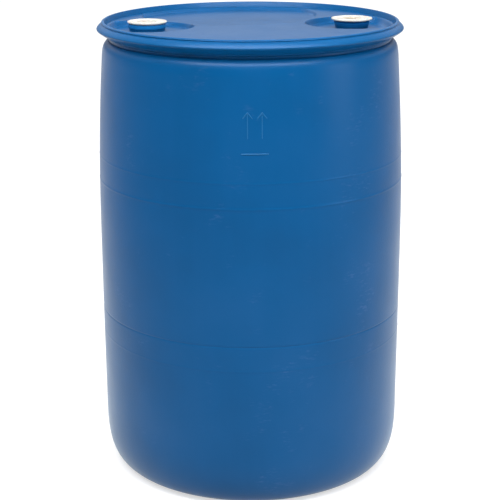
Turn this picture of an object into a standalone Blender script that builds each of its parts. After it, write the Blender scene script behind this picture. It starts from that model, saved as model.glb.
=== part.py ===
"""Closed-head plastic drum of 208 litres, with a handling ring and two threaded bungs.

Metres, +Z up. The origin is at the middle of the base. The two bungs lie on the X axis, and
+Y is the side where the head falls away behind them. Each bung is a threaded neck insert, a
gasket and a plug, and the +X plug carries a smaller plug and gasket in its centre.
"""
import math

import bmesh
import bpy
from mathutils import Vector

# ---- the whole drum -------------------------------------------------------------------------
HEIGHT = 0.890               # base to the top of the rim
BELLY_R = 0.2970             # widest outer radius
BELLY_Z = 0.500              # height of the widest ring
BARREL_TOP_Z = 0.828         # where the barrel ends and the shoulder begins
BARREL_TOP_R = 0.2845
BARREL_FOOT_Z = 0.125        # where the barrel ends and the bottom corner begins
BARREL_FOOT_R = 0.2956
BASE_R = 0.232               # outer edge of the flat that the drum stands on
BASE_INNER_R = 0.208         # its inner edge
BASE_RISE = 0.006            # the middle of the base stands clear of the floor by this much
CORNER_POWER = 3.0           # squareness of the bottom corner's curve
WALL = 0.0035                # shell thickness
GAP = 0.0003                 # between pieces that touch

# ---- neck and head --------------------------------------------------------------------------
THROAT_R = 0.2702            # waist between the shoulder and the handling ring
THROAT_Z = 0.8550
THROAT_TOP_Z = 0.8590
SHOULDER = ((0.2712, 0.8543), (0.2745, 0.8530), (0.2800, 0.8470), (0.2829, 0.8395))
SEAT_R = 0.2753              # upright wall that carries the handling ring
SEAT_Z = 0.8612
HEAD_Z = 0.880               # raised front panel of the head
RECESS_WALL_R = 0.2723       # outer limit of the head's recesses at the panel's level
RECESS_WALL_FOOT_R = 0.2700  # and at their floor
WELL_R = 0.090               # round well about each bung
WELL_Z = 0.8685              # floor of the wells
SCOOP_R = 0.176              # fall at the back of the head, which leans towards the left bung
SCOOP_X = -0.027
SCOOP_Y = 0.157
SCOOP_STEEP = math.radians(2.6)
SCOOP_SHALLOW = math.radians(0.45)
SCOOP_BEND = 0.100           # length of the steeper part

# ---- lines round the barrel: height, width, how far each one stands out ---------------------
BARREL_LINES = ((0.636, 0.006, 0.0006), (0.589, 0.006, 0.0008),
                (0.328, 0.004, -0.0010), (0.281, 0.005, 0.0006))

# ---- bungs ----------------------------------------------------------------------------------
BUNG_X = 0.197               # distance of each bung from the drum's axis
NECK_TOP_Z = 0.8844          # rim that the gasket lies on; heights below are from here
NECK_LENGTH = 0.0232
WELD_FLANGE_R = 0.042        # flange inside the drum that the neck is welded on by
PLUG_TOP = 0.0046            # top of a plug above its neck
GASKET_BOTTOM = 0.0003
GASKET_TOP = 0.0016
FLANGE_BOTTOM = 0.0019
SKIRT_BOTTOM = -0.0183
PLUG_WALL = 0.0030           # thickness of a plug's skirt, top and pocket
EDGE = 0.0006                # chamfer on a plug's edges
THREAD_TOP = -0.0030
THREAD_BOTTOM = -0.0150
THREAD_CLEARANCE = 0.0004    # radial, between the crests of one thread and the roots of the other

THREAD_ROOT_WIDTH = 0.56     # a thread rib's width at its root, as a share of the pitch
THREAD_CREST_WIDTH = 0.27    # and at its crest

FINE = {"crest": 0.0298, "depth": 0.0011, "pitch": 0.0254 / 11.5}      # 2 inch, 11.5 per inch
COARSE = {"crest": 0.0280, "depth": 0.0014, "pitch": 0.0040}           # 56 mm by 4 mm
SMALL = {"crest": 0.0132, "depth": 0.0009, "pitch": 0.0254 / 14.0}     # 3/4 inch, 14 per inch
LEFT = {"label": "left", "x": -BUNG_X, "thread": FINE, "flange_r": 0.0375, "collar_r": 0.0355,
        "collar_foot": -0.0080, "neck_r": 0.0344, "foot_r": 0.0344}
RIGHT = {"label": "right", "x": BUNG_X, "thread": COARSE, "flange_r": 0.0395, "collar_r": 0.0345,
         "collar_foot": -0.0050, "neck_r": 0.0335, "foot_r": 0.0310}
POCKET_R = 0.019             # wrench pocket of the plain plug
POCKET_FLOOR = -0.0044
LUG_SIZE, LUG_COUNT = 0.0035, 4
SMALL_SEAT_R = 0.0178        # counterbore for the small plug
SMALL_FLANGE_R = 0.0170
SMALL_TOP = 0.0039
SMALL_FLANGE_BOTTOM = 0.0016
SMALL_FOOT = -0.0122
SMALL_BORE_FOOT = -0.0130
SMALL_EDGE = 0.0004
SMALL_THREAD_TOP = -0.0014
SMALL_THREAD_BOTTOM = -0.0094
SMALL_POCKET_R = 0.0095
SMALL_POCKET_FLOOR = -0.0041
SMALL_LUG_SIZE, SMALL_LUG_COUNT = 0.0022, 3
SMALL_GASKET_TOP = 0.0013
RELIEF = 0.0001              # a plain shank is this much under its thread's crest

# ---- smoothness -----------------------------------------------------------------------------
DRUM_SEGMENTS = 56
CAVITY_SEGMENTS = 40
BUNG_SEGMENTS = 24
SMALL_SEGMENTS = 16

BLUE = (0.010, 0.105, 0.305)
RING_BLUE = (0.012, 0.125, 0.330)
NECK_BLUE = (0.010, 0.130, 0.360)
WHITE = (0.80, 0.78, 0.73)
CREAM = (0.76, 0.71, 0.62)
RUBBER = (0.55, 0.54, 0.50)


# ---- scene helpers --------------------------------------------------------------------------
def clear_scene():
    for thing in list(bpy.data.objects):
        bpy.data.objects.remove(thing, do_unlink=True)


def new_collection(name):
    collection = bpy.data.collections.new(name)
    bpy.context.scene.collection.children.link(collection)
    return collection


def plastic(name, colour, roughness):
    material = bpy.data.materials.new(name)
    material.use_nodes = True
    shader = material.node_tree.nodes["Principled BSDF"]
    shader.inputs["Base Color"].default_value = (*colour, 1.0)
    shader.inputs["Roughness"].default_value = roughness
    shader.inputs["Metallic"].default_value = 0.0
    return material


def add_object(name, mesh, collection):
    thing = bpy.data.objects.new(name, mesh)
    collection.objects.link(thing)
    return thing


def make_cutter(thing):
    thing.display_type = "WIRE"
    thing.hide_render = True
    return thing


def finish_part(thing, material, parent=None):
    """Apply the modifiers, shade the round faces smooth, and hang the part on its parent."""
    bpy.context.view_layer.update()
    depsgraph = bpy.context.evaluated_depsgraph_get()
    mesh = bpy.data.meshes.new_from_object(thing.evaluated_get(depsgraph))
    thing.modifiers.clear()
    thing.data = mesh
    mesh.name = thing.name
    mesh.shade_smooth()
    mesh.set_sharp_from_angle(angle=math.radians(30.0))
    mesh.materials.clear()
    mesh.materials.append(material)
    thing.parent = parent


def boolean(thing, other, operation):
    modifier = thing.modifiers.new(f"{operation.lower()} {other.name}", "BOOLEAN")
    modifier.operation = operation
    modifier.solver = "EXACT"
    modifier.object = other


def turned(name, outline, segments, collection, closed=False):
    """A turned solid. The outline starts at the top and runs down the outer side."""
    mesh = bpy.data.meshes.new(name)
    count = len(outline)
    edges = [(i, i + 1) for i in range(count - 1)]
    if closed:
        edges.append((count - 1, 0))
    mesh.from_pydata([(r, 0.0, z) for r, z in outline], edges, [])
    thing = add_object(name, mesh, collection)
    screw = thing.modifiers.new("turn", "SCREW")
    screw.axis = "Z"
    screw.angle = 2.0 * math.pi
    screw.steps = segments
    screw.render_steps = segments
    screw.use_merge_vertices = True
    screw.merge_threshold = 0.00001
    return thing


def cylinder(name, radius_low, radius_high, low, high, segments, collection):
    """An upright cylinder or cone between two heights, about its object's own Z axis."""
    mesh = bpy.data.meshes.new(name)
    form = bmesh.new()
    bmesh.ops.create_cone(form, cap_ends=True, segments=segments, radius1=radius_low,
                          radius2=radius_high, depth=high - low)
    bmesh.ops.translate(form, verts=form.verts, vec=(0.0, 0.0, (high + low) / 2.0))
    form.to_mesh(mesh)
    form.free()
    return add_object(name, mesh, collection)


def box(name, size, centre, collection):
    mesh = bpy.data.meshes.new(name)
    form = bmesh.new()
    bmesh.ops.create_cube(form, size=1.0)
    bmesh.ops.scale(form, verts=form.verts, vec=size)
    bmesh.ops.translate(form, verts=form.verts, vec=centre)
    form.to_mesh(mesh)
    form.free()
    return add_object(name, mesh, collection)


def helical_rib(name, section, pitch, bottom, top, segments, collection):
    """A right-hand helical rib of the given (radius, height) section, with closed ends."""
    turns = (top - bottom) / pitch
    steps = round(turns * segments)
    mesh = bpy.data.meshes.new(name)
    count = len(section)
    edges = [(i, (i + 1) % count) for i in range(count)]
    mesh.from_pydata([(r, 0.0, bottom + z) for r, z in section], edges, [])
    guide = add_object(name + "_guide", mesh, collection)
    screw = guide.modifiers.new("helix", "SCREW")
    screw.axis = "Z"
    screw.angle = 2.0 * math.pi * steps / segments
    screw.screw_offset = pitch * steps / segments
    screw.steps = steps
    screw.render_steps = steps
    screw.use_merge_vertices = False
    bpy.context.view_layer.update()
    depsgraph = bpy.context.evaluated_depsgraph_get()
    swept = bpy.data.meshes.new_from_object(guide.evaluated_get(depsgraph))
    bpy.data.objects.remove(guide, do_unlink=True)
    form = bmesh.new()
    form.from_mesh(swept)
    rims = [edge for edge in form.edges if edge.is_boundary]
    bmesh.ops.holes_fill(form, edges=rims, sides=0)
    bmesh.ops.recalc_face_normals(form, faces=form.faces)
    form.to_mesh(swept)
    form.free()
    return make_cutter(add_object(name, swept, collection))


# ---- outlines -------------------------------------------------------------------------------
def barrel_radius(z):
    """Outer radius of the barrel, which bulges most at BELLY_Z."""
    if z > BELLY_Z:
        drop, span = BELLY_R - BARREL_TOP_R, BARREL_TOP_Z - BELLY_Z
    else:
        drop, span = BELLY_R - BARREL_FOOT_R, BELLY_Z - BARREL_FOOT_Z
    return BELLY_R - drop * ((z - BELLY_Z) / span) ** 2


def corner_radius(z):
    """Outer radius of the rounded bottom corner, between the base and the barrel."""
    fall = 1.0 - z / BARREL_FOOT_Z
    return BASE_R + (BARREL_FOOT_R - BASE_R) * (1.0 - fall ** CORNER_POWER) ** (1.0 / CORNER_POWER)


def corner_heights(count):
    """Heights from the barrel's foot down to the base, closer together near the base."""
    return [BARREL_FOOT_Z * (1.0 - i / count) ** 2 for i in range(1, count)]


def shell_outline():
    plain = [(z, barrel_radius(z)) for z in (0.790, 0.730, 0.685, BELLY_Z, 0.410, 0.200)]
    lined = []
    for height, width, proud in BARREL_LINES:
        for shift, out in ((width / 2.0, 0.0), (0.0, proud), (-width / 2.0, 0.0)):
            z = height + shift
            lined.append((z, barrel_radius(z) + out))
    outline = [(0.0, HEAD_Z), (SEAT_R - 0.0005, HEAD_Z), (SEAT_R, HEAD_Z - 0.0005), (SEAT_R, SEAT_Z),
               (THROAT_R, THROAT_TOP_Z), (THROAT_R, THROAT_Z)]
    outline += SHOULDER
    outline.append((BARREL_TOP_R, BARREL_TOP_Z))
    outline += [(r, z) for z, r in sorted(plain + lined, reverse=True)]
    outline.append((BARREL_FOOT_R, BARREL_FOOT_Z))
    outline += [(corner_radius(z), z) for z in corner_heights(6)]
    outline += [(BASE_R, 0.0), (BASE_INNER_R, 0.0), (BASE_INNER_R - 0.016, BASE_RISE - 0.001),
                (0.0, BASE_RISE)]
    return outline


def cavity_outline():
    top = HEAD_Z - WALL
    inner = THROAT_R - WALL
    outline = [(0.0, top), (inner - 0.006, top), (inner, top - 0.006), (inner, THROAT_Z - 0.002),
               (BARREL_TOP_R - WALL, BARREL_TOP_Z - WALL)]
    outline += [(barrel_radius(z) - WALL, z) for z in (0.720, BELLY_Z, 0.300)]
    outline.append((BARREL_FOOT_R - WALL, BARREL_FOOT_Z))
    outline += [(corner_radius(z) - WALL, z + WALL) for z in corner_heights(5)]
    outline += [(BASE_R - WALL, WALL + 0.001), (BASE_INNER_R, WALL + 0.001),
                (BASE_INNER_R - 0.016, WALL + BASE_RISE), (0.0, WALL + BASE_RISE)]
    return outline


def ring_outline():
    """The L-shaped handling ring: an upright lip, a crease, and a broad rounded flange."""
    inner = SEAT_R + GAP
    return [(0.2794, HEIGHT), (0.2816, HEIGHT), (0.2840, 0.8884), (0.2845, 0.8872), (0.2845, 0.8850),
            (0.2882, 0.8826), (0.2908, 0.8802), (0.2926, 0.8780), (0.2937, 0.8760), (0.2932, 0.8742),
            (0.2900, 0.8718), (0.2850, 0.8684), (inner, 0.8622), (inner, HEAD_Z), (0.2786, 0.8888)]


# ---- drum -----------------------------------------------------------------------------------
def head_scoop(name, grow, cutters):
    """The fall at the back of the head: a steep slope at its front edge, then a gentle one."""
    front = Vector((SCOOP_X, SCOOP_Y - SCOOP_R, HEAD_Z - grow))
    scoop = cylinder(name, SCOOP_R + grow, SCOOP_R + grow, 0.0, 0.040, 48, cutters)
    scoop.rotation_euler.x = -SCOOP_STEEP
    scoop.location = front + SCOOP_R * Vector((0.0, math.cos(SCOOP_STEEP), -math.sin(SCOOP_STEEP)))
    slab = box(name + "_slab", (0.50, 0.50, 0.05), (0.0, 0.0, 0.025), cutters)
    slab.rotation_euler.x = -SCOOP_SHALLOW
    slab.location = front + SCOOP_BEND * Vector((0.0, 1.0, -math.tan(SCOOP_STEEP)))
    boolean(scoop, make_cutter(slab), "INTERSECT")
    return make_cutter(scoop)


def head_recess(name, grow, cutters):
    """Both wells and the fall as one cutter, larger on every side by grow."""
    wells = []
    for side, label in ((-1.0, "left"), (1.0, "right")):
        well = cylinder(f"{name}_{label}", WELL_R - 0.002 + grow, WELL_R + grow, WELL_Z - grow,
                        HEIGHT, 48, cutters)
        well.location.x = side * BUNG_X
        wells.append(make_cutter(well))
    recess = wells[0]
    boolean(recess, wells[1], "UNION")
    boolean(recess, head_scoop(name + "_scoop", grow, cutters), "UNION")
    return recess


def recess_limit(cutters):
    """The cone that keeps the recesses inside the upright wall under the handling ring."""
    lean = (RECESS_WALL_R - RECESS_WALL_FOOT_R) / (HEAD_Z - WELL_Z)
    low, high = WELL_Z - 0.010, HEIGHT
    return make_cutter(cylinder("recess_limit", RECESS_WALL_FOOT_R + lean * (low - WELL_Z),
                                RECESS_WALL_FOOT_R + lean * (high - WELL_Z), low, high,
                                DRUM_SEGMENTS, cutters))


def build_shell(parts, cutters, blue, necks):
    shell = turned("drum_shell", shell_outline(), DRUM_SEGMENTS, parts)
    recess = head_recess("recess", 0.0, cutters)
    boolean(recess, recess_limit(cutters), "INTERSECT")
    cavity = make_cutter(turned("cavity", cavity_outline(), CAVITY_SEGMENTS, cutters))
    boolean(cavity, head_recess("recess_underside", WALL, cutters), "DIFFERENCE")
    boolean(shell, recess, "DIFFERENCE")
    boolean(shell, cavity, "DIFFERENCE")
    for neck in necks:
        hole = cylinder(f"bung_hole_{neck['label']}", neck["foot_r"] + GAP, neck["foot_r"] + GAP,
                        WELL_Z - 0.012, HEIGHT, BUNG_SEGMENTS, cutters)
        hole.location.x = neck["x"]
        boolean(shell, make_cutter(hole), "DIFFERENCE")
    finish_part(shell, blue)


def build_ring(parts, blue):
    ring = turned("handling_ring", ring_outline(), DRUM_SEGMENTS, parts, closed=True)
    finish_part(ring, blue)


# ---- bungs ----------------------------------------------------------------------------------
def add_thread(thing, thread, top, bottom, inside, segments, cutters):
    """Union a helical rib onto a shank, or into a bore half a pitch lower, so that they mesh."""
    half_crest = 0.5 * THREAD_CREST_WIDTH * thread["pitch"]
    half_root = 0.5 * THREAD_ROOT_WIDTH * thread["pitch"]
    sunk = 0.5 * thread["depth"]
    half_sunk = half_root + (half_root - half_crest) * sunk / thread["depth"]
    if inside:
        root = thread["crest"] + THREAD_CLEARANCE
        crest = root - thread["depth"]
        shift = -0.5 * thread["pitch"]
        section = ((root + sunk, half_sunk), (root + sunk, -half_sunk),
                   (crest, -half_crest), (crest, half_crest))
    else:
        crest = thread["crest"]
        root = crest - thread["depth"]
        shift = 0.0
        section = ((crest, half_crest), (crest, -half_crest),
                   (root - sunk, -half_sunk), (root - sunk, half_sunk))
    kind = "inner" if inside else "outer"
    rib = helical_rib(f"{thing.name}_{kind}_thread", section, thread["pitch"], bottom + shift,
                      top + shift, segments, cutters)
    rib.rotation_euler.z = math.pi / segments
    boolean(thing, rib, "UNION")


def add_lugs(thing, radius, floor, top, size, count, cutters):
    """Lugs round the inside of a wrench pocket."""
    for index in range(count):
        lug = box(f"{thing.name}_lug_{index}", (2.0 * size, size, top - floor + 0.001),
                  (radius, 0.0, (top + floor - 0.001) / 2.0), cutters)
        lug.rotation_euler.z = 2.0 * math.pi * (index + 0.5) / count
        boolean(thing, make_cutter(lug), "UNION")


def neck_outline(bung):
    floor = WELL_Z - NECK_TOP_Z
    bore = bung["thread"]["crest"] + THREAD_CLEARANCE
    edge = 0.0008
    return [(bore + edge, 0.0), (bung["collar_r"] - edge, 0.0), (bung["collar_r"], -edge),
            (bung["collar_r"], bung["collar_foot"] + edge), (bung["neck_r"], bung["collar_foot"]),
            (bung["foot_r"], floor + edge), (bung["foot_r"], floor - WALL - GAP),
            (WELD_FLANGE_R, floor - WALL - GAP), (WELD_FLANGE_R, -NECK_LENGTH), (bore, -NECK_LENGTH),
            (bore, -edge)]


def plug_skirt(bung):
    """The outer side of a plug, from its top edge down to the end of its threaded skirt."""
    flange = bung["flange_r"]
    shank = bung["thread"]["crest"] - RELIEF
    root = bung["thread"]["crest"] - bung["thread"]["depth"]
    return [(flange - EDGE, PLUG_TOP), (flange, PLUG_TOP - EDGE), (flange, FLANGE_BOTTOM + EDGE),
            (flange - EDGE, FLANGE_BOTTOM), (shank, FLANGE_BOTTOM), (shank, -0.0008),
            (root, -0.0016), (root, SKIRT_BOTTOM + EDGE), (root - EDGE, SKIRT_BOTTOM)]


def plain_plug_outline(bung):
    skirt_inner = bung["thread"]["crest"] - bung["thread"]["depth"] - PLUG_WALL
    cup = POCKET_R + PLUG_WALL
    return ([(0.0, POCKET_FLOOR), (POCKET_R, POCKET_FLOOR), (POCKET_R, PLUG_TOP)] + plug_skirt(bung)
            + [(skirt_inner, SKIRT_BOTTOM), (skirt_inner, PLUG_TOP - PLUG_WALL),
               (cup, PLUG_TOP - PLUG_WALL), (cup, POCKET_FLOOR - PLUG_WALL),
               (0.0, POCKET_FLOOR - PLUG_WALL)])


def holed_plug_outline(bung):
    skirt_inner = bung["thread"]["crest"] - bung["thread"]["depth"] - PLUG_WALL
    bore = SMALL["crest"] + THREAD_CLEARANCE
    cup, sleeve = SMALL_SEAT_R + PLUG_WALL, bore + PLUG_WALL
    return ([(SMALL_SEAT_R, PLUG_TOP)] + plug_skirt(bung)
            + [(skirt_inner, SKIRT_BOTTOM), (skirt_inner, PLUG_TOP - PLUG_WALL),
               (cup, PLUG_TOP - PLUG_WALL), (cup, -PLUG_WALL), (sleeve, -PLUG_WALL - 0.001),
               (sleeve, SMALL_BORE_FOOT), (bore, SMALL_BORE_FOOT), (bore, 0.0), (SMALL_SEAT_R, 0.0)])


def small_plug_outline():
    root = SMALL["crest"] - SMALL["depth"]
    shank = SMALL["crest"] - RELIEF
    return [(0.0, SMALL_POCKET_FLOOR), (SMALL_POCKET_R, SMALL_POCKET_FLOOR),
            (SMALL_POCKET_R, SMALL_TOP), (SMALL_FLANGE_R - SMALL_EDGE, SMALL_TOP),
            (SMALL_FLANGE_R, SMALL_TOP - SMALL_EDGE), (SMALL_FLANGE_R, SMALL_FLANGE_BOTTOM),
            (shank, SMALL_FLANGE_BOTTOM), (shank, -0.0004), (root, -0.0008),
            (root, SMALL_FOOT + SMALL_EDGE), (root - SMALL_EDGE, SMALL_FOOT),
            (SMALL_POCKET_R, SMALL_FOOT), (SMALL_POCKET_R, SMALL_POCKET_FLOOR - PLUG_WALL),
            (0.0, SMALL_POCKET_FLOOR - PLUG_WALL)]


def washer_outline(inner, outer, bottom, top):
    return [(inner, top), (outer, top), (outer, bottom), (inner, bottom)]


def joint_axis(bung, parts):
    """An empty on the bung's axis, level with the top of its neck."""
    empty = add_object(f"bung_axis_{bung['label']}", None, parts)
    empty.location = (bung["x"], 0.0, NECK_TOP_Z)
    return empty


def build_neck(bung, axis, parts, cutters, blue):
    neck = turned(f"neck_insert_{bung['label']}", neck_outline(bung), BUNG_SEGMENTS, parts, closed=True)
    add_thread(neck, bung["thread"], THREAD_TOP, THREAD_BOTTOM, True, BUNG_SEGMENTS, cutters)
    finish_part(neck, blue, axis)


def build_gasket(bung, axis, parts, rubber):
    inner = bung["thread"]["crest"] + GAP
    gasket = turned(f"gasket_{bung['label']}",
                    washer_outline(inner, bung["collar_r"] - 0.0012, GASKET_BOTTOM, GASKET_TOP),
                    BUNG_SEGMENTS, parts, closed=True)
    finish_part(gasket, rubber, axis)


def build_plain_plug(bung, axis, parts, cutters, white):
    plug = turned(f"plug_{bung['label']}", plain_plug_outline(bung), BUNG_SEGMENTS, parts)
    add_lugs(plug, POCKET_R, POCKET_FLOOR, PLUG_TOP - 0.0030, LUG_SIZE, LUG_COUNT, cutters)
    add_thread(plug, bung["thread"], THREAD_TOP, THREAD_BOTTOM, False, BUNG_SEGMENTS, cutters)
    finish_part(plug, white, axis)


def build_holed_plug(bung, axis, parts, cutters, white):
    plug = turned(f"plug_{bung['label']}", holed_plug_outline(bung), BUNG_SEGMENTS, parts, closed=True)
    add_thread(plug, bung["thread"], THREAD_TOP, THREAD_BOTTOM, False, BUNG_SEGMENTS, cutters)
    add_thread(plug, SMALL, SMALL_THREAD_TOP, SMALL_THREAD_BOTTOM, True, SMALL_SEGMENTS, cutters)
    finish_part(plug, white, axis)


def build_small_plug(axis, parts, cutters, cream, rubber):
    gasket = turned("gasket_small",
                    washer_outline(SMALL["crest"] + GAP, SMALL_FLANGE_R - SMALL_EDGE, GASKET_BOTTOM,
                                   SMALL_GASKET_TOP),
                    SMALL_SEGMENTS, parts, closed=True)
    finish_part(gasket, rubber, axis)
    plug = turned("plug_small", small_plug_outline(), SMALL_SEGMENTS, parts)
    add_lugs(plug, SMALL_POCKET_R, SMALL_POCKET_FLOOR, SMALL_TOP - 0.0020, SMALL_LUG_SIZE,
             SMALL_LUG_COUNT, cutters)
    add_thread(plug, SMALL, SMALL_THREAD_TOP, SMALL_THREAD_BOTTOM, False, SMALL_SEGMENTS, cutters)
    finish_part(plug, cream, axis)


def build():
    clear_scene()
    parts = new_collection("plastic_drum")
    cutters = new_collection("cutters")
    rubber = plastic("pale_rubber", RUBBER, 0.70)
    build_shell(parts, cutters, plastic("drum_polyethylene", BLUE, 0.42), (LEFT, RIGHT))
    build_ring(parts, plastic("ring_polyethylene", RING_BLUE, 0.45))
    neck_blue = plastic("neck_polyethylene", NECK_BLUE, 0.42)
    for bung in (LEFT, RIGHT):
        axis = joint_axis(bung, parts)
        build_neck(bung, axis, parts, cutters, neck_blue)
        build_gasket(bung, axis, parts, rubber)
        white = plastic(f"{bung['label']}_plug_plastic", WHITE, 0.38)
        if bung is LEFT:
            build_plain_plug(bung, axis, parts, cutters, white)
        else:
            build_holed_plug(bung, axis, parts, cutters, white)
            cream = plastic("small_plug_plastic", CREAM, 0.40)
            build_small_plug(axis, parts, cutters, cream, rubber)


build()
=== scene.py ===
import math

import bmesh
import bpy
import numpy as np
from mathutils import Euler, Matrix, Vector
from mathutils.geometry import delaunay_2d_cdt


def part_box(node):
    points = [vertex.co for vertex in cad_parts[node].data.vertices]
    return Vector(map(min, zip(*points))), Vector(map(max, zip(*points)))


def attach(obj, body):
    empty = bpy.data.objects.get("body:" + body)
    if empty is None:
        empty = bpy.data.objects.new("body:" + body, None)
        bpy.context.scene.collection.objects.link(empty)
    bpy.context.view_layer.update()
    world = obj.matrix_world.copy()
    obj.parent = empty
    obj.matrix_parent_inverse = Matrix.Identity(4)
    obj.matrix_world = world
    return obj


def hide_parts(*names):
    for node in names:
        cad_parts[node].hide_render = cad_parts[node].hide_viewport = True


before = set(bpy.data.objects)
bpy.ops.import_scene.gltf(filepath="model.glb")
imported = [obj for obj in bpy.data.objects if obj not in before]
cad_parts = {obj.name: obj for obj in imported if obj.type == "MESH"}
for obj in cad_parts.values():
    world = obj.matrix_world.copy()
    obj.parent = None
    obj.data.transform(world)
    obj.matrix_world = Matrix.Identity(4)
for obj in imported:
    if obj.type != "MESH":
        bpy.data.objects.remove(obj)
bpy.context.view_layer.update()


# ---- places read from the frame -------------------------------------------------------------
def middle(node):
    low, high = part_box(node)
    return (low + high) / 2.0


def radius_of(node):
    low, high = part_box(node)
    return (high.x - low.x) / 2.0


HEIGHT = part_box("handling_ring")[1].z
RING_R = radius_of("handling_ring")
SHELL_R = radius_of("drum_shell")
HEAD_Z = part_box("drum_shell")[1].z
NECK_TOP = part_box("neck_insert_left")[1].z
NECK_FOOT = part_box("neck_insert_left")[0].z
PLUG_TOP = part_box("plug_left")[1].z
PLUG_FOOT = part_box("plug_left")[0].z
BUNGS = {side: middle(f"plug_{side}") for side in ("left", "right")}

# ---- the shell's outline, in metres ---------------------------------------------------------
BELLY_Z, BELLY_R = 0.500, 0.2970
BARREL_TOP_Z, BARREL_TOP_R = 0.828, 0.2845
BARREL_FOOT_Z, BARREL_FOOT_R = 0.125, 0.2956
CORNER_POWER = 3.0
BASE_R, BASE_INNER_R, BASE_RISE = 0.232, 0.208, 0.006
THROAT_R, THROAT_Z, THROAT_TOP_Z = 0.2702, 0.8550, 0.8590
SHOULDER = ((0.2712, 0.8543), (0.2745, 0.8530), (0.2800, 0.8470), (0.2829, 0.8395))
SEAT_R, SEAT_Z = 0.2753, 0.8612
SHELL_WALL = 0.0035
# height, half-width and how far each line round the barrel stands out
BARREL_LINES = ((0.636, 0.0016, 0.0004), (0.589, 0.0020, 0.0006),
                (0.328, 0.0014, -0.0008), (0.281, 0.0016, 0.0003))
PARTING_RISE, PARTING_WIDTH = 0.00025, 0.0008
# the raised mark on the front: its direction in degrees, and heights in metres
MARK_TURN, MARK_BAR_Z = -94.0, 0.690
ARROW_FOOT_Z, ARROW_NECK_Z, ARROW_WING_Z, ARROW_TIP_Z = 0.717, 0.7615, 0.7525, 0.7635
ARROW_ASIDE, ARROW_HALF_WIDTH, MARK_BAR_HALF = 0.013, 0.009, 0.025
SEAM_REACH = 0.150

# ---- the head -------------------------------------------------------------------------------
WELL_R, WELL_Z = 0.0890, 0.8685
RECESS_OUTER_R, RECESS_FOOT_R = 0.2738, 0.2610
SCOOP_X, SCOOP_Y, SCOOP_R = -0.027, 0.157, 0.176
SCOOP_STEEP, SCOOP_SHALLOW = math.tan(math.radians(2.6)), math.tan(math.radians(0.45))
SCOOP_BEND = 0.100
FOOT_FILLET = 0.0040
RIM_RINGS = (0.2735, 0.2728, 0.2721, 0.2713, 0.2705, 0.2697, 0.2688, 0.2670, 0.2640)
FREE_POINTS_R = 0.2622

# ---- bungs ----------------------------------------------------------------------------------
THREADS = {"left": {"crest": 0.0298, "depth": 0.0011, "pitch": 0.0254 / 11.5},
           "right": {"crest": 0.0280, "depth": 0.0014, "pitch": 0.0040},
           "small": {"crest": 0.0132, "depth": 0.0009, "pitch": 0.0254 / 14.0}}
CLEARANCE = 0.0004
THREAD_TOP, THREAD_BOTTOM = -0.0030, -0.0150
SMALL_THREAD_TOP, SMALL_THREAD_BOTTOM = -0.0014, -0.0094
NECKS = {"left": {"collar_r": 0.0355, "collar_foot": -0.0080, "neck_r": 0.0344, "foot_r": 0.0344},
         "right": {"collar_r": 0.0345, "collar_foot": -0.0050, "neck_r": 0.0335, "foot_r": 0.0310}}
POCKET_R, POCKET_FLOOR = 0.019, -0.0044
SMALL_SEAT_R, SMALL_FLANGE_R, SMALL_TOP = 0.0178, radius_of("plug_small"), 0.0039
SMALL_POCKET_R, SMALL_POCKET_FLOOR = 0.0095, -0.0041
GASKET_HOLES = {"gasket_left": 0.0301, "gasket_right": 0.0283, "gasket_small": 0.0135}

RING_STEPS = 192
BUNG_STEPS = 96
RIM_INSET = 0.0012

# ---- camera: metres and degrees -------------------------------------------------------------
CAMERA_AWAY, CAMERA_HEIGHT = 2.787, 1.251
CAMERA_AZIMUTH, CAMERA_PITCH, CAMERA_PAN, CAMERA_ROLL = -5.5, 16.45, 0.036, -0.20
CAMERA_LENS = 104.3


# ---- mesh helpers ---------------------------------------------------------------------------
def make_object(name, mesh, material, smooth_angle=40.0):
    thing = bpy.data.objects.new(name, mesh)
    bpy.context.scene.collection.objects.link(thing)
    mesh.materials.append(material)
    mesh.shade_smooth()
    mesh.set_sharp_from_angle(angle=math.radians(smooth_angle))
    return thing


def even_angles(count):
    return np.arange(count) * (2.0 * math.pi / count)


def parted_angles():
    """Even steps round the drum, with closer ones beside the two mould parting lines."""
    fine = [side + step * PARTING_WIDTH / BELLY_R for side in (0.0, math.pi) for step in (-2, -1, 1, 2)]
    return np.sort(np.concatenate([even_angles(RING_STEPS), np.mod(fine, 2.0 * math.pi)]))


def round_corners(points, radius, steps=4, closed=True):
    """The same outline with every corner replaced by a short arc-like curve."""
    result = []
    count = len(points)
    for i, (r, z) in enumerate(points):
        here = np.array((r, z))
        if not closed and i in (0, count - 1):
            result.append((r, z))
            continue
        before, after = np.array(points[i - 1]), np.array(points[(i + 1) % count])
        back, ahead = before - here, after - here
        reach = min(radius, 0.45 * np.linalg.norm(back), 0.45 * np.linalg.norm(ahead))
        start = here + back / np.linalg.norm(back) * reach
        end = here + ahead / np.linalg.norm(ahead) * reach
        for t in np.linspace(0.0, 1.0, steps + 1):
            point = (1.0 - t) ** 2 * start + 2.0 * t * (1.0 - t) * here + t ** 2 * end
            result.append((float(point[0]), float(point[1])))
    return result


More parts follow.
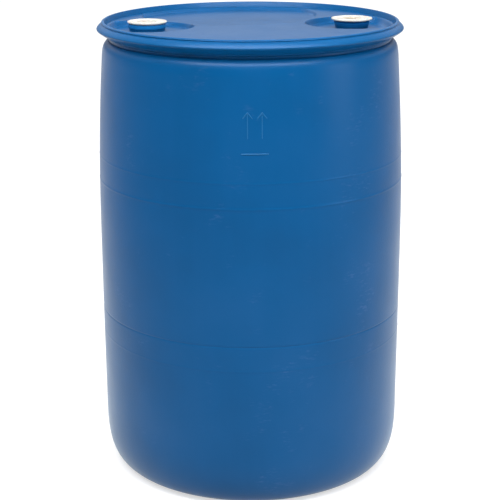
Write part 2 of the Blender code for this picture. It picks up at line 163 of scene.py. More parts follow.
def lathe(name, outline, angles, closed=True, shape=None):
    """A turned mesh. The outline runs down its outer side; shape(r, z, angle) may alter the radius."""
    outline = np.array(outline, float)
    rows, columns = len(outline), len(angles)
    r = np.repeat(outline[:, :1], columns, axis=1)
    z = np.repeat(outline[:, 1:], columns, axis=1)
    turn = np.repeat(np.array(angles)[None, :], rows, axis=0)
    if shape is not None:
        r = shape(r, z, turn)
    points = np.stack([r * np.cos(turn), r * np.sin(turn), z], axis=2).reshape(-1, 3)
    faces = []
    for j in range(rows if closed else rows - 1):
        k = (j + 1) % rows
        for i in range(columns):
            n = (i + 1) % columns
            quad = (j * columns + i, k * columns + i, k * columns + n, j * columns + n)
            if outline[j, 0] < 1e-9:
                quad = (j * columns, k * columns + i, k * columns + n)
            elif outline[k, 0] < 1e-9:
                quad = (j * columns + i, k * columns, j * columns + n)
            faces.append(quad)
    mesh = bpy.data.meshes.new(name)
    mesh.from_pydata(points.tolist(), [], faces)
    return without_spare_points(mesh)


def without_spare_points(mesh):
    """Drops the points that no face uses, such as those at a turned shape's pole."""
    form = bmesh.new()
    form.from_mesh(mesh)
    spare = [vertex for vertex in form.verts if not vertex.link_faces]
    bmesh.ops.delete(form, geom=spare, context="VERTS")
    form.to_mesh(mesh)
    form.free()
    return mesh


def move_mesh(mesh, x, y, z):
    mesh.transform(Matrix.Translation((x, y, z)))
    return mesh


def smooth_step(t):
    t = np.clip(t, 0.0, 1.0)
    return t * t * (3.0 - 2.0 * t)


def fade_out(distance, full, none):
    """1 up to the distance full, falling smoothly to 0 at the distance none."""
    return 1.0 - smooth_step((distance - full) / (none - full))


# ---- materials ------------------------------------------------------------------------------
def start_material(name, roughness, specular=0.5):
    material = bpy.data.materials.new(name)
    material.use_nodes = True
    tree = material.node_tree
    shader = tree.nodes["Principled BSDF"]
    shader.inputs["Roughness"].default_value = roughness
    shader.inputs["IOR"].default_value = 1.50
    shader.inputs["Specular IOR Level"].default_value = specular
    return material, tree, shader


def node(tree, kind, **settings):
    made = tree.nodes.new("ShaderNode" + kind)
    for key, value in settings.items():
        if key in made.inputs:
            made.inputs[key].default_value = value
        else:
            setattr(made, key, value)
    return made


def noise(tree, scale, detail=2.0, stretch=(1.0, 1.0, 1.0), roughness=0.5):
    """Object-space noise, with its pattern stretched along the axes where stretch is below 1."""
    where = node(tree, "TexCoord")
    mapping = node(tree, "Mapping")
    mapping.inputs["Scale"].default_value = stretch
    pattern = node(tree, "TexNoise", Scale=scale, Detail=detail, Roughness=roughness)
    tree.links.new(where.outputs["Object"], mapping.inputs["Vector"])
    tree.links.new(mapping.outputs["Vector"], pattern.inputs["Vector"])
    return pattern.outputs["Fac"]


def ramp(tree, value, stops):
    """Maps a value through (position, grey or colour) stops."""
    made = node(tree, "ValToRGB")
    elements = made.color_ramp.elements
    while len(elements) < len(stops):
        elements.new(0.5)
    for element, (position, colour) in zip(elements, stops):
        element.position = position
        element.color = (colour,) * 3 + (1.0,) if isinstance(colour, float) else (*colour, 1.0)
    tree.links.new(value, made.inputs["Fac"])
    return made.outputs["Color"]


def mix_colour(tree, factor, first, second, blend="MIX"):
    made = node(tree, "Mix", data_type="RGBA", blend_type=blend)
    for socket, value in ((made.inputs[0], factor), (made.inputs[6], first), (made.inputs[7], second)):
        if isinstance(value, (int, float)):
            socket.default_value = value
        elif isinstance(value, tuple):
            socket.default_value = (*value, 1.0)
        else:
            tree.links.new(value, socket)
    return made.outputs[2]


def maths(tree, operation, first, second=0.0, clamp=False):
    made = node(tree, "Math", operation=operation, use_clamp=clamp)
    for socket, value in zip(made.inputs, (first, second)):
        if isinstance(value, (int, float)):
            socket.default_value = value
        else:
            tree.links.new(value, socket)
    return made.outputs[0]


def bump(tree, height, strength, distance, below=None):
    made = node(tree, "Bump", Strength=strength, Distance=distance)
    tree.links.new(height, made.inputs["Height"])
    if below is not None:
        tree.links.new(below, made.inputs["Normal"])
    return made.outputs["Normal"]


def blue_plastic(name, base, scuffs=0.5, roughness=0.32, painted_shade_below=None):
    """Moulded polyethylene: uneven tone, long faint rubs, fine scuffs and an orange-peel skin.
    Below the given height the colour is darkened as painted shade."""
    material, tree, shader = start_material(name, roughness, 0.10)
    deep = tuple(0.88 * c for c in base)
    pale = (base[0] + 0.004, base[1] * 1.10, base[2] * 1.07)
    tone = ramp(tree, noise(tree, 5.0, 3.0), ((0.30, deep), (0.52, base), (0.78, pale)))
    streaks = ramp(tree, noise(tree, 46.0, 3.0, (1.0, 1.0, 0.05)), ((0.45, 0.0), (0.75, 1.0)))
    tone = mix_colour(tree, maths(tree, "MULTIPLY", streaks, 0.16), tone, pale)
    grain = ramp(tree, noise(tree, 620.0, 2.0), ((0.35, 0.0), (0.68, 1.0)))
    tone = mix_colour(tree, maths(tree, "MULTIPLY", grain, 0.14), tone, deep)
    rub_field = ramp(tree, noise(tree, 11.0, 5.0, roughness=0.7), ((0.56, 0.0), (0.72, 1.0)))
    rub_lines = ramp(tree, noise(tree, 300.0, 3.0, (0.25, 0.25, 1.0)), ((0.52, 0.0), (0.66, 1.0)))
    rubs = maths(tree, "MULTIPLY", rub_field, rub_lines)
    worn = (base[0] + 0.055, base[1] * 1.25 + 0.035, base[2] * 1.12 + 0.050)
    tone = mix_colour(tree, maths(tree, "MULTIPLY", rubs, scuffs), tone, worn)
    # Painted shade: below the given height the tone is mixed towards a darker blue.
    if painted_shade_below is not None:
        parts = node(tree, "SeparateXYZ")
        tree.links.new(node(tree, "TexCoord").outputs["Object"], parts.inputs["Vector"])
        painted_shade = ramp(tree, parts.outputs["Z"], ((painted_shade_below - 0.0008, 1.0), (painted_shade_below + 0.0008, 0.0)))
        tone = mix_colour(tree, painted_shade, tone, tuple(0.45 * c for c in base))
    tree.links.new(tone, shader.inputs["Base Color"])
    rough = maths(tree, "ADD", maths(tree, "MULTIPLY", noise(tree, 14.0, 4.0), 0.14), roughness - 0.07)
    rough = maths(tree, "ADD", rough, maths(tree, "MULTIPLY", rubs, 0.10), clamp=True)
    tree.links.new(rough, shader.inputs["Roughness"])
    skin = bump(tree, noise(tree, 260.0, 3.0), 0.30, 0.00035)
    skin = bump(tree, noise(tree, 1300.0, 2.0), 0.22, 0.00012, skin)
    tree.links.new(skin, shader.inputs["Normal"])
    return material


def pale_plastic(name, base, shadow, roughness=0.38):
    """White moulded plastic, a little yellowed, with darker patches and specks at random."""
    material, tree, shader = start_material(name, roughness)
    tone = ramp(tree, noise(tree, 60.0, 3.0), ((0.30, shadow), (0.60, base)))
    specks = ramp(tree, noise(tree, 900.0, 2.0), ((0.66, 0.0), (0.74, 1.0)))
    tone = mix_colour(tree, maths(tree, "MULTIPLY", specks, 0.25), tone, shadow)
    tree.links.new(tone, shader.inputs["Base Color"])
    rough = maths(tree, "ADD", maths(tree, "MULTIPLY", noise(tree, 130.0, 3.0), 0.16), roughness - 0.08)
    tree.links.new(rough, shader.inputs["Roughness"])
    shader.inputs["Subsurface Weight"].default_value = 0.10
    shader.inputs["Subsurface Scale"].default_value = 0.002
    tree.links.new(bump(tree, noise(tree, 800.0, 2.0), 0.18, 0.0001), shader.inputs["Normal"])
    return material


def washer_rubber(name, base):
    material, tree, shader = start_material(name, 0.68, 0.35)
    dark = tuple(0.82 * c for c in base)
    tone = ramp(tree, noise(tree, 240.0, 3.0), ((0.35, dark), (0.65, base)))
    tree.links.new(tone, shader.inputs["Base Color"])
    tree.links.new(bump(tree, noise(tree, 1500.0, 2.0), 0.25, 0.0001), shader.inputs["Normal"])
    return material


# ---- the drum's shell -----------------------------------------------------------------------
def barrel_radius(z):
    up = BELLY_R - (BELLY_R - BARREL_TOP_R) * ((z - BELLY_Z) / (BARREL_TOP_Z - BELLY_Z)) ** 2
    down = BELLY_R - (BELLY_R - BARREL_FOOT_R) * ((BELLY_Z - z) / (BELLY_Z - BARREL_FOOT_Z)) ** 2
    return np.where(z > BELLY_Z, up, down)


def corner_radius(z):
    fall = 1.0 - z / BARREL_FOOT_Z
    rise = (1.0 - fall ** CORNER_POWER) ** (1.0 / CORNER_POWER)
    return BASE_R + (BARREL_FOOT_R - BASE_R) * rise


def spline(points, steps):
    """A smooth curve through the points, from the second to the last but one."""
    points = np.array(points, float)
    curve = []
    for a, b, c, d in zip(points, points[1:], points[2:], points[3:]):
        for t in np.arange(steps) / steps:
            curve.append(0.5 * (2.0 * b + (c - a) * t + (2.0 * a - 5.0 * b + 4.0 * c - d) * t ** 2
                                + (3.0 * b - a - 3.0 * c + d) * t ** 3))
    return [tuple(point) for point in curve]


def shell_outline():
    """The outer side, from the head's rim down to the middle of the base."""
    rim = round_corners([(SEAT_R - RIM_INSET, HEAD_Z), (SEAT_R, HEAD_Z), (SEAT_R, SEAT_Z),
                         (THROAT_R, THROAT_TOP_Z), (THROAT_R, THROAT_Z)], 0.0010, closed=False)
    top = (BARREL_TOP_R, BARREL_TOP_Z)
    guides = [(THROAT_R, THROAT_TOP_Z), (THROAT_R, THROAT_Z), *SHOULDER, top,
              (float(barrel_radius(0.820)), 0.820), (float(barrel_radius(0.810)), 0.810)]
    shoulder = spline(guides, 5)[1:]
    plain = np.arange(0.814, BARREL_FOOT_Z, -0.0075)
    fine = [height + offset for height, _, _ in BARREL_LINES for offset in np.arange(-4.5, 5.0) * 0.0008]
    away = [z for z in plain if min(abs(z - height) for height, _, _ in BARREL_LINES) > 0.0050]
    heights = np.array(sorted(away + fine, reverse=True))
    barrel = list(zip(barrel_radius(heights), heights))
    corner = [(corner_radius(z), z) for z in BARREL_FOOT_Z * (1.0 - np.linspace(0.0, 1.0, 26)[:-1]) ** 2]
    base = round_corners([(BASE_R, 0.0), (BASE_INNER_R, 0.0), (BASE_INNER_R - 0.016, BASE_RISE - 0.001),
                          (0.100, BASE_RISE), (0.0, BASE_RISE)], 0.006, closed=False)
    return rim + shoulder + barrel + corner + base


def shell_relief(r, z, turn):
    """Lines round the barrel, the two parting lines, and the slight waviness of a blown wall."""
    for height, width, proud in BARREL_LINES:
        r = r + proud * np.exp(-((z - height) / width) ** 2)
    side = np.minimum(np.abs(np.sin(turn)), 1.0) * BELLY_R
    walls = smooth_step((z - 0.012) / 0.03) * fade_out(z, THROAT_Z - 0.02, THROAT_Z)
    r = r + walls * PARTING_RISE * np.exp(-(side / PARTING_WIDTH) ** 2)
    waves = (0.5 + 0.30 * np.sin(3.0 * turn + 9.0 * z + 1.3) + 0.20 * np.sin(5.0 * turn - 14.0 * z))
    r = r - 0.0006 * waves * smooth_step((z - 0.03) / 0.10) * fade_out(z, 0.76, 0.83)
    return np.minimum(r, SHELL_R)


def head_depth(x, y):
    """How far the head lies below its front panel."""
    depth = np.zeros_like(x)
    for bung in BUNGS.values():
        away = np.hypot(x - bung.x, y - bung.y)
        depth = np.maximum(depth, (HEAD_Z - WELL_Z) * fade_out(away, WELL_R - 0.0050, WELL_R + 0.0025))
    into = np.maximum(y - (SCOOP_Y - SCOOP_R), 0.0)
    slope = SCOOP_SHALLOW * into + (SCOOP_STEEP - SCOOP_SHALLOW) * np.minimum(into, SCOOP_BEND)
    slope = slope - 0.0006 * np.exp(-((into - SCOOP_BEND) / 0.018) ** 2)
    around = np.hypot(x - SCOOP_X, y - SCOOP_Y)
    fall = slope * fade_out(around, SCOOP_R - 0.0055, SCOOP_R + 0.0010)
    both = np.maximum(depth, fall) + 0.0009 * np.exp(-((depth - fall) / 0.0016) ** 2) * (fall > 0.002)
    return both * fade_out(np.hypot(x, y), RECESS_FOOT_R, RECESS_OUTER_R)


def head_height(x, y):
    """Height of the head's skin, which turns up to meet each bung's neck."""
    z = HEAD_Z - head_depth(x, y)
    for side, bung in BUNGS.items():
        away = np.hypot(x - bung.x, y - bung.y) - NECKS[side]["foot_r"]
        z = z + 0.0028 * np.clip(1.0 - away / FOOT_FILLET, 0.0, 1.0) ** 2
    return z


def ring_of_points(x, y, radius, spacing):
    count = max(8, int(2.0 * math.pi * radius / spacing))
    turn = even_angles(count)
    return np.stack([x + radius * np.cos(turn), y + radius * np.sin(turn)], axis=1)


def near_edge(points, margin):
    """True for points within margin of a well's or the fall's wall."""
    found = np.abs(np.hypot(points[:, 0] - SCOOP_X, points[:, 1] - SCOOP_Y) - SCOOP_R) < margin
    for bung in BUNGS.values():
        found |= np.hypot(points[:, 0] - bung.x, points[:, 1] - bung.y) < WELL_R + margin
    return found


def thinned(points, least):
    """Drops each point that lies closer than least to one already kept."""
    kept, cells = [], {}
    for x, y in points:
        cell = (int(x // least), int(y // least))
        around = [cells[(cell[0] + i, cell[1] + j)] for i in (-1, 0, 1) for j in (-1, 0, 1)
                  if (cell[0] + i, cell[1] + j) in cells]
        if all((x - a) ** 2 + (y - b) ** 2 >= least ** 2 for a, b in around):
            cells[cell] = (x, y)
            kept.append((x, y))
    return kept


def head_points(angles):
    """Outer loop, bung loops, and the free points between them, closer together along edges."""
    outer = (SEAT_R - RIM_INSET) * np.stack([np.cos(angles), np.sin(angles)], axis=1)
    loops = [outer]
    free = []
    for radius in RIM_RINGS:
        free.append(radius * np.stack([np.cos(angles), np.sin(angles)], axis=1))
    for side, bung in BUNGS.items():
        foot = NECKS[side]["foot_r"] - 0.0004
        loops.append(ring_of_points(bung.x, bung.y, foot, 0.0034))
        for step in (0.0011, 0.0019, 0.0028, 0.0038, 0.0052, 0.0075, 0.0110):
            free.append(ring_of_points(bung.x, bung.y, foot + step, 0.0034))
        for radius in np.arange(foot + 0.016, WELL_R - 0.008, 0.0055):
            free.append(ring_of_points(bung.x, bung.y, radius, 0.0055))
        for radius in np.arange(WELL_R - 0.0062, WELL_R + 0.0040, 0.0010):
            free.append(ring_of_points(bung.x, bung.y, radius, 0.0034))
    rim = ring_of_points(SCOOP_X, SCOOP_Y, SCOOP_R, 0.0036)
    centre = np.array((SCOOP_X, SCOOP_Y))
    for step in np.arange(-0.0062, 0.0025, 0.0010):
        band = centre + (rim - centre) * (1.0 + step / SCOOP_R)
        for bung in BUNGS.values():
            band = band[np.hypot(band[:, 0] - bung.x, band[:, 1] - bung.y) > WELL_R + 0.0045]
        free.append(band)
    for radius in np.arange(0.006, 0.260, 0.0070):
        band = ring_of_points(0.0, 0.0, radius, 0.0070)
        free.append(band[~near_edge(band, 0.0070)])
    rest = []
    for index, band in enumerate(free):
        limit = RECESS_OUTER_R if index < len(RIM_RINGS) else FREE_POINTS_R
        inside = np.hypot(band[:, 0], band[:, 1]) < limit
        rest.extend(map(tuple, band[inside]))
    fixed = [tuple(point) for loop in loops for point in loop]
    kept = thinned(fixed + rest, 0.00075)
    free_points = kept[len(thinned(fixed, 0.00075)):]
    return loops, free_points


def head_mesh(angles):
    loops, free_points = head_points(angles)
    flat, edges = [], []
    for loop in loops:
        first = len(flat)
        flat.extend(Vector(map(float, point)) for point in loop)
        edges.extend((first + i, first + (i + 1) % len(loop)) for i in range(len(loop)))
    flat.extend(Vector(map(float, point)) for point in free_points)
    points, _, faces, *_ = delaunay_2d_cdt(flat, edges, [], 0, 1e-7)
    xy = np.array([tuple(point) for point in points])
    kept = []
    for face in faces:
        middle_x, middle_y = xy[list(face)].mean(axis=0)
        in_bung = any(math.hypot(middle_x - bung.x, middle_y - bung.y) < NECKS[side]["foot_r"] - 0.0005
                      for side, bung in BUNGS.items())
        if not in_bung:
            kept.append(tuple(face))
    z = head_height(xy[:, 0], xy[:, 1])
    return np.column_stack([xy, z]), kept


def build_shell(material):
    angles = parted_angles()
    body = lathe("drum_shell_skin", shell_outline(), angles, closed=False, shape=shell_relief)
    points, faces = head_mesh(angles)
    head = bpy.data.meshes.new("head")
    head.from_pydata(points.tolist(), [], faces)
    form = bmesh.new()
    form.from_mesh(body)
    form.from_mesh(head)
    bmesh.ops.remove_doubles(form, verts=form.verts, dist=0.00002)
    form.to_mesh(body)
    form.free()
    shell = make_object("drum_shell_skin", body, material, 60.0)
    wall = shell.modifiers.new("wall", "SOLIDIFY")
    wall.thickness = SHELL_WALL
    wall.offset = -1.0
    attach(shell, "drum")
    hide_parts("drum_shell")
    return shell


# ---- handling ring --------------------------------------------------------------------------
def build_ring(material):
    """An upright lip, a crease under it, and a broad rounded flange that hooks over the shoulder."""
    lip = [(0.2794, HEIGHT), (0.2816, HEIGHT), (0.2842, 0.8884), (0.2846, 0.8873)]
    crease = [(0.2838, 0.8863), (0.2838, 0.8853), (0.2850, 0.8846)]
    flange = [(0.2882, 0.8826), (0.2908, 0.8802), (0.2926, 0.8780), (RING_R, 0.8760),
              (0.2932, 0.8742), (0.2900, 0.8718), (0.2850, 0.8684)]
    inside = [(SEAT_R - 0.0002, 0.8622), (SEAT_R - 0.0002, HEAD_Z - 0.0002), (0.2768, 0.8842),
              (0.2786, 0.8888)]
    outline = round_corners(lip + crease + flange + inside, 0.0008, steps=3)

    def parting(r, z, turn):
        side = np.abs(np.sin(turn)) * RING_R
        flash = PARTING_RISE * np.exp(-(side / PARTING_WIDTH) ** 2) * (r > 0.2845)
        return np.minimum(r + flash, RING_R)

    mesh = lathe("handling_ring_skin", outline, parted_angles(), shape=parting)
    ring = make_object("handling_ring_skin", mesh, material, 50.0)
    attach(ring, "drum")
    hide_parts("handling_ring")


# ---- bungs ----------------------------------------------------------------------------------
def thread_shape(thread, top, bottom, wall_r, inside, steps):
    """A function for lathe() that raises a right-hand thread on a wall of radius wall_r."""
    pitch, depth = thread["pitch"], thread["depth"]
    start = bottom - (0.5 * pitch if inside else 0.0)
    end = top - (0.5 * pitch if inside else 0.0)
    sign = -1.0 if inside else 1.0

    def shape(r, z, turn):
        lead = (z - start) / pitch - (turn - math.pi / steps) / (2.0 * math.pi)
        away = np.abs(lead - np.round(lead))
        rib = np.clip((0.28 - away) / (0.28 - 0.135), 0.0, 1.0)
        run = smooth_step((z - start + 0.3 * pitch) / (0.7 * pitch))
        run = run * smooth_step((end + 0.3 * pitch - z) / (0.7 * pitch))
        on_wall = np.abs(r - wall_r) < 1e-7
        return r + sign * depth * rib * run * on_wall
    return shape


def threaded_wall(r, high, low, step=0.00022):
    count = int(round(abs(high - low) / step))
    return [(r, z) for z in np.linspace(high, low, count + 1)]


def build_neck(side, material):
    neck, thread = NECKS[side], THREADS[side]
    bore = thread["crest"] + CLEARANCE
    floor = WELL_Z - NECK_TOP
    foot = NECK_FOOT - NECK_TOP
    outer = [(bore + 0.0008, 0.0), (neck["collar_r"], 0.0), (neck["collar_r"], neck["collar_foot"]),
             (neck["neck_r"], neck["collar_foot"] - 0.0004), (neck["foot_r"], floor),
             (neck["foot_r"], floor - 0.0038), (0.042, floor - 0.0038), (0.042, foot), (bore, foot)]
    outline = round_corners(outer, 0.0009, steps=3, closed=False)
    outline += threaded_wall(bore, foot + 0.0010, -0.0008)
    mesh = lathe(f"neck_{side}_skin", outline, even_angles(BUNG_STEPS),
                 shape=thread_shape(thread, THREAD_TOP, THREAD_BOTTOM, bore, True, 24))
    move_mesh(mesh, BUNGS[side].x, BUNGS[side].y, NECK_TOP)
    thing = make_object(f"neck_{side}_skin", mesh, material, 50.0)
    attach(thing, "drum")
    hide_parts(f"neck_insert_{side}")


def plug_flange(flange_r, top, crest):
    """A plug's outer side, from its top face down to the start of its thread."""
    return [(flange_r, top), (flange_r, 0.0019), (crest - 0.0001, 0.0019), (crest - 0.0001, -0.0008)]


def finish_plug(side, body, mesh, material, lugs=None):
    thing = make_object(f"plug_{side}_skin", mesh, material, 45.0)
    if lugs is not None:
        join_lugs(thing, *lugs)
    move_mesh(thing.data, BUNGS["left" if side == "left" else "right"].x, 0.0, NECK_TOP)
    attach(thing, body)
    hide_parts(f"plug_{side}")
    return thing


def join_lugs(thing, radius, floor, top, size, count):
    """Rounded lugs inside a wrench pocket, made one with the plug."""
    for index in range(count):
        form = bmesh.new()
        bmesh.ops.create_cube(form, size=1.0)
        bmesh.ops.scale(form, verts=form.verts, vec=(2.0 * size, size, top - floor + 0.001))
        bmesh.ops.bevel(form, geom=form.edges, offset=0.0006, segments=3, affect="EDGES", profile=0.5)
        bmesh.ops.translate(form, verts=form.verts, vec=(radius, 0.0, (top + floor - 0.001) / 2.0))
        turn = Matrix.Rotation(2.0 * math.pi * (index + 0.5) / count, 3, "Z")
        bmesh.ops.rotate(form, verts=form.verts, cent=(0.0, 0.0, 0.0), matrix=turn)
        mesh = bpy.data.meshes.new("lug")
        form.to_mesh(mesh)
        form.free()
        lug = bpy.data.objects.new("lug", mesh)
        bpy.context.scene.collection.objects.link(lug)
        union = thing.modifiers.new("lug", "BOOLEAN")
        union.operation = "UNION"
        union.object = lug
        bpy.context.view_layer.update()
        done = bpy.data.meshes.new_from_object(thing.evaluated_get(bpy.context.evaluated_depsgraph_get()))
        thing.modifiers.clear()
        thing.data = done
        bpy.data.objects.remove(lug, do_unlink=True)
    thing.data.shade_smooth()
    thing.data.set_sharp_from_angle(angle=math.radians(45.0))


def build_left_plug(material):
    thread = THREADS["left"]
    top, foot = PLUG_TOP - NECK_TOP, PLUG_FOOT - NECK_TOP
    root = thread["crest"] - thread["depth"]
    inner = root - 0.003
    head = [(0.0, POCKET_FLOOR), (POCKET_R - 0.0004, POCKET_FLOOR), (POCKET_R, top - 0.0004),
            (POCKET_R + 0.0022, top - 0.0004), (POCKET_R + 0.0030, top - 0.0010), (0.0330, top - 0.0010),
            (0.0338, top)] + plug_flange(radius_of("plug_left"), top, thread["crest"])
    outline = round_corners(head + [(root, -0.0016)], 0.0006, steps=3, closed=False)
    outline += threaded_wall(root, -0.0018, foot + 0.0006)
    outline += round_corners([(root, foot + 0.0004), (root - 0.0006, foot), (inner, foot),
                              (inner, top - 0.003), (POCKET_R + 0.003, top - 0.003),
                              (POCKET_R + 0.003, POCKET_FLOOR - 0.003), (0.0, POCKET_FLOOR - 0.003)],
                             0.0006, steps=2, closed=False)
    mesh = lathe("plug_left_skin", outline, even_angles(BUNG_STEPS), closed=False,
                 shape=thread_shape(thread, THREAD_TOP, THREAD_BOTTOM, root, False, 24))
    lugs = (POCKET_R, POCKET_FLOOR, top - 0.003, 0.0035, 4)
    finish_plug("left", "left_plug", mesh, material, lugs)


def build_right_plug(material):
    thread, small = THREADS["right"], THREADS["small"]
    top, foot = PLUG_TOP - NECK_TOP, PLUG_FOOT - NECK_TOP
    root = thread["crest"] - thread["depth"]
    inner, bore = root - 0.003, small["crest"] + CLEARANCE
    head = [(SMALL_SEAT_R, top), (0.0270, top), (0.0278, top - 0.0008), (0.0345, top - 0.0008),
            (0.0353, top)] + plug_flange(radius_of("plug_right"), top, thread["crest"])
    outline = round_corners([(SMALL_SEAT_R, 0.001)] + head + [(root, -0.0016)], 0.0006, 3, closed=False)
    outline += threaded_wall(root, -0.0018, foot + 0.0006)
    under = [(root, foot + 0.0004), (root - 0.0006, foot), (inner, foot), (inner, top - 0.003),
             (SMALL_SEAT_R + 0.003, top - 0.003), (SMALL_SEAT_R + 0.003, -0.003), (bore + 0.003, -0.004),
             (bore + 0.003, -0.013), (bore, -0.013)]
    outline += round_corners(under, 0.0006, 2, closed=False)
    outline += threaded_wall(bore, -0.0125, -0.0005)
    outline += [(bore, 0.0), (SMALL_SEAT_R - 0.0004, 0.0)]
    outer = thread_shape(thread, THREAD_TOP, THREAD_BOTTOM, root, False, 24)
    hole = thread_shape(small, SMALL_THREAD_TOP, SMALL_THREAD_BOTTOM, bore, True, 16)

    def both(r, z, turn):
        return hole(outer(r, z, turn), z, turn)

    mesh = lathe("plug_right_skin", outline, even_angles(BUNG_STEPS), shape=both)
    finish_plug("right", "right_plug", mesh, material)


def build_small_plug(material):
    thread = THREADS["small"]
    top, foot = SMALL_TOP, -0.0122
    root = thread["crest"] - thread["depth"]
    head = [(0.0, SMALL_POCKET_FLOOR), (SMALL_POCKET_R - 0.0003, SMALL_POCKET_FLOOR),
            (SMALL_POCKET_R, top - 0.0003), (SMALL_POCKET_R + 0.0016, top - 0.0003),
            (SMALL_POCKET_R + 0.0022, top - 0.0008), (0.0145, top - 0.0008), (0.0150, top),
            (SMALL_FLANGE_R, top), (SMALL_FLANGE_R, 0.0016), (thread["crest"] - 0.0001, 0.0016),
            (thread["crest"] - 0.0001, -0.0004), (root, -0.0008)]
    outline = round_corners(head, 0.0004, steps=3, closed=False)
    outline += threaded_wall(root, -0.0010, foot + 0.0005)
    outline += round_corners([(root, foot + 0.0004), (root - 0.0004, foot), (SMALL_POCKET_R, foot),
                              (SMALL_POCKET_R, SMALL_POCKET_FLOOR - 0.003),
                              (0.0, SMALL_POCKET_FLOOR - 0.003)], 0.0004, steps=2, closed=False)
    mesh = lathe("plug_small_skin", outline, even_angles(72), closed=False,
                 shape=thread_shape(thread, SMALL_THREAD_TOP, SMALL_THREAD_BOTTOM, root, False, 16))
    lugs = (SMALL_POCKET_R, SMALL_POCKET_FLOOR, top - 0.002, 0.0022, 3)
    finish_plug("small", "small_plug", mesh, material, lugs)


def build_gasket(name, body, material):
    """A washer with rounded edges, the same size as its CAD solid."""
    low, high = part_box(name)
    centre, outer = (low + high) / 2.0, (high.x - low.x) / 2.0
    inner = GASKET_HOLES[name]
    outline = round_corners([(inner, high.z), (outer, high.z), (outer, low.z), (inner, low.z)], 0.0003, 3)
    mesh = move_mesh(lathe(name + "_skin", outline, even_angles(BUNG_STEPS)), centre.x, centre.y, 0.0)
    washer = make_object(name + "_skin", mesh, material)
    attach(washer, body)
    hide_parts(name)


# ---- raised marks ---------------------------------------------------------------------------
def raised_stroke(form, corners, half_width, proud, turn):
    """A rounded rib along (across, height) corners, laid on the barrel and sunk a little into it."""
    path = [np.array(corners[0], float)]
    for start, end in zip(corners, corners[1:]):
        start, end = np.array(start, float), np.array(end, float)
        count = max(2, int(np.linalg.norm(end - start) / 0.0015))
        path += [start + (end - start) * k / count for k in range(1, count + 1)]
    profile = [(math.cos(a), math.sin(a)) for a in np.linspace(0.0, math.pi, 9)]
    rows = []
    for index, point in enumerate(path):
        before, after = path[max(index - 1, 0)], path[min(index + 1, len(path) - 1)]
        along = (after - before) / np.linalg.norm(after - before)
        aside = np.array((-along[1], along[0]))
        taper = min(1.0, 0.35 + 0.65 * min(index, len(path) - 1 - index))
        row = []
        for across, rise in profile:
            u, v = point + aside * across * half_width * taper
            radius = float(barrel_radius(np.array(v))) - 0.0008 + (proud + 0.0008) * rise * taper
            angle = turn + u / radius
            row.append(form.verts.new((radius * math.cos(angle), radius * math.sin(angle), v)))
        rows.append(row)
    width = len(profile)
    for first, second in zip(rows, rows[1:]):
        for i in range(width):
            j = (i + 1) % width
            form.faces.new((first[i], second[i], second[j], first[j]))
    form.faces.new(rows[0])
    form.faces.new(list(reversed(rows[-1])))


def build_mark(material):
    """The usual sign for this way up: two arrows over a bar, moulded into the front."""
    form = bmesh.new()
    turn = math.radians(MARK_TURN)
    raised_stroke(form, ((-MARK_BAR_HALF, MARK_BAR_Z), (MARK_BAR_HALF, MARK_BAR_Z)), 0.0011, 0.0007, turn)
    for centre in (-ARROW_ASIDE, ARROW_ASIDE):
        chevron = ((centre - ARROW_HALF_WIDTH, ARROW_WING_Z), (centre, ARROW_TIP_Z),
                   (centre + ARROW_HALF_WIDTH, ARROW_WING_Z))
        raised_stroke(form, chevron, 0.0010, 0.0006, turn)
        raised_stroke(form, ((centre, ARROW_FOOT_Z), (centre, ARROW_NECK_Z)), 0.0009, 0.00025, turn)
    bmesh.ops.recalc_face_normals(form, faces=form.faces)
    mesh = bpy.data.meshes.new("upright_mark")
    form.to_mesh(mesh)
    form.free()
    mark = make_object("upright_mark", mesh, material, 70.0)
    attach(mark, "drum")


def build_pinch_seam(material):
    """The low ridge that the mould leaves where it pinches the bottom shut."""
    curve = bpy.data.curves.new("pinch_seam", "CURVE")
    curve.dimensions = "3D"
    curve.bevel_depth = 0.0016
    curve.bevel_resolution = 3
    curve.use_fill_caps = True
    line = curve.splines.new("POLY")
    reach = np.linspace(-SEAM_REACH, SEAM_REACH, 41)
    line.points.add(len(reach) - 1)
    for point, x in zip(line.points, reach):
        sunk = smooth_step((abs(x) - SEAM_REACH + 0.020) / 0.020)
        point.co = (x, 0.0, BASE_RISE + 0.0003 + 0.0008 * sunk, 1.0)
    seam = bpy.data.objects.new("pinch_seam", curve)
    bpy.context.scene.collection.objects.link(seam)
    curve.materials.append(material)
    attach(seam, "drum")


# ---- stage, light and camera ----------------------------------------------------------------
def build_stage():
    bpy.ops.mesh.primitive_plane_add(size=60.0, location=(0.0, 0.0, -0.0002))
    floor = bpy.context.object
    floor.name = "floor"
    material, tree, shader = start_material("pale_floor", 0.9, 0.0)
    tone = ramp(tree, noise(tree, 2.0, 2.0), ((0.3, 0.48), (0.7, 0.50)))
    bounce = node(tree, "LightPath").outputs["Is Diffuse Ray"]
    tree.links.new(mix_colour(tree, bounce, tone, (0.54, 0.54, 0.54)), shader.inputs["Base Color"])
    glow = mix_colour(tree, bounce, (0.60, 0.60, 0.60), (0.0, 0.0, 0.0))
    tree.links.new(glow, shader.inputs["Emission Color"])
    shader.inputs["Emission Strength"].default_value = 1.0
    floor.data.materials.append(material)


def soft_light(name, energy, width, depth, place, target=(0.0, 0.0, 0.45)):
    data = bpy.data.lights.new(name, "AREA")
    data.energy = energy
    data.shape = "ELLIPSE"
    data.size = width
    data.size_y = depth
    lamp = bpy.data.objects.new(name, data)
    lamp.location = place
    lamp.rotation_euler = (Vector(target) - Vector(place)).to_track_quat("-Z", "Y").to_euler()
    bpy.context.scene.collection.objects.link(lamp)
    return lamp


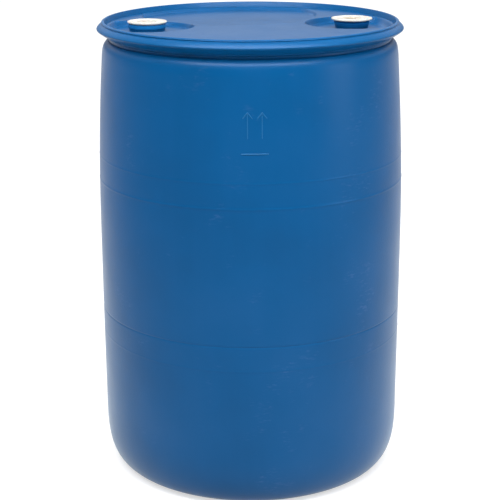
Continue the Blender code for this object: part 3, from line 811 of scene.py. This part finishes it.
def build_light():
    """A white studio with a soft lamp overhead, a low one to the right, and one seen only as gloss."""
    world = bpy.data.worlds.new("studio")
    world.use_nodes = True
    tree = world.node_tree
    where = node(tree, "TexCoord")
    parts = node(tree, "SeparateXYZ")
    tree.links.new(where.outputs["Generated"], parts.inputs["Vector"])
    upward = ramp(tree, parts.outputs["Z"], ((0.15, 0.18), (0.30, 0.98), (1.0, 0.98)))
    rearward = maths(tree, "MULTIPLY", parts.outputs["Y"], 0.30)
    level = maths(tree, "ADD", upward, rearward)
    background = tree.nodes["Background"]
    background.inputs["Color"].default_value = (1.0, 1.0, 1.0, 1.0)
    tree.links.new(level, background.inputs["Strength"])
    bpy.context.scene.world = world
    bpy.context.scene.view_settings.view_transform = "Standard"
    soft_light("overhead", 140.0, 4.6, 1.5, (-0.2, -1.6, 3.0))
    soft_light("gleam", 260.0, 4.6, 2.6, (-0.2, -1.3, 3.1)).visible_diffuse = False
    soft_light("low", 16.0, 1.2, 1.2, (2.6, -1.4, 1.0))


def build_camera():
    data = bpy.data.cameras.new("camera")
    data.lens = CAMERA_LENS
    data.clip_end = 200.0
    camera = bpy.data.objects.new("camera", data)
    turn = math.radians(CAMERA_AZIMUTH)
    camera.location = (math.sin(turn) * CAMERA_AWAY, -math.cos(turn) * CAMERA_AWAY, CAMERA_HEIGHT)
    aim = Euler((math.radians(90.0 - CAMERA_PITCH), 0.0, turn + math.radians(CAMERA_PAN))).to_matrix()
    camera.rotation_euler = (aim @ Matrix.Rotation(math.radians(CAMERA_ROLL), 3, "Z")).to_euler()
    bpy.context.scene.collection.objects.link(camera)
    bpy.context.scene.camera = camera


def add_dust(material, top, most):
    """A thin film of dust that thickens from the height top down to the base."""
    tree = material.node_tree
    shader = tree.nodes["Principled BSDF"]
    parts = node(tree, "SeparateXYZ")
    tree.links.new(node(tree, "TexCoord").outputs["Object"], parts.inputs["Vector"])
    film = ramp(tree, parts.outputs["Z"], ((0.05, most), (top, 0.0)))
    patches = ramp(tree, noise(tree, 9.0, 4.0), ((0.30, 0.75), (0.70, 1.0)))
    tree.links.new(maths(tree, "MULTIPLY", film, patches), shader.inputs["Sheen Weight"])
    shader.inputs["Sheen Roughness"].default_value = 0.45
    shader.inputs["Sheen Tint"].default_value = (0.85, 0.97, 1.0, 1.0)


def build():
    blue = blue_plastic("drum_polyethylene", (0.000, 0.069, 0.207))
    add_dust(blue, 0.62, 0.30)
    ring_blue = blue_plastic("ring_polyethylene", (0.000, 0.074, 0.216), scuffs=0.7)
    # Painted light and shade: the neck blue is paler than the drum's so the collar looks lit under the
    # plug flange, and it is darkened from 6.2 mm below the neck top down as painted shade.
    neck_blue_painted_light_and_shade = blue_plastic("neck_polyethylene", (0.006, 0.130, 0.350), 0.3, painted_shade_below=NECK_TOP - 0.0062)
    white = pale_plastic("plug_plastic", (0.53, 0.52, 0.485), (0.44, 0.41, 0.36))
    # Painted shade: the small plug's cream-tan colour stands in for the shade inside the right plug's
    # recess.
    cream_painted_shade = pale_plastic("small_plug_plastic", (0.45, 0.39, 0.31), (0.33, 0.27, 0.20))
    rubber = washer_rubber("washer_rubber", (0.62, 0.61, 0.57))
    # Painted highlight: the mark's blue is paler than the drum's, standing in for light caught on its
    # raised ribs.
    mark_blue_painted_highlight = blue_plastic("mark_polyethylene_painted_highlight", (0.012, 0.105, 0.255), scuffs=0.2)
    build_shell(blue)
    build_ring(ring_blue)
    for side in BUNGS:
        build_neck(side, neck_blue_painted_light_and_shade)
    build_left_plug(white)
    build_right_plug(white)
    build_small_plug(cream_painted_shade)
    build_gasket("gasket_left", "left_gasket", rubber)
    build_gasket("gasket_right", "right_gasket", rubber)
    build_gasket("gasket_small", "small_gasket", rubber)
    build_mark(mark_blue_painted_highlight)
    build_pinch_seam(blue)
    build_stage()
    build_light()
    build_camera()


build()
bpy.context.view_layer.update()
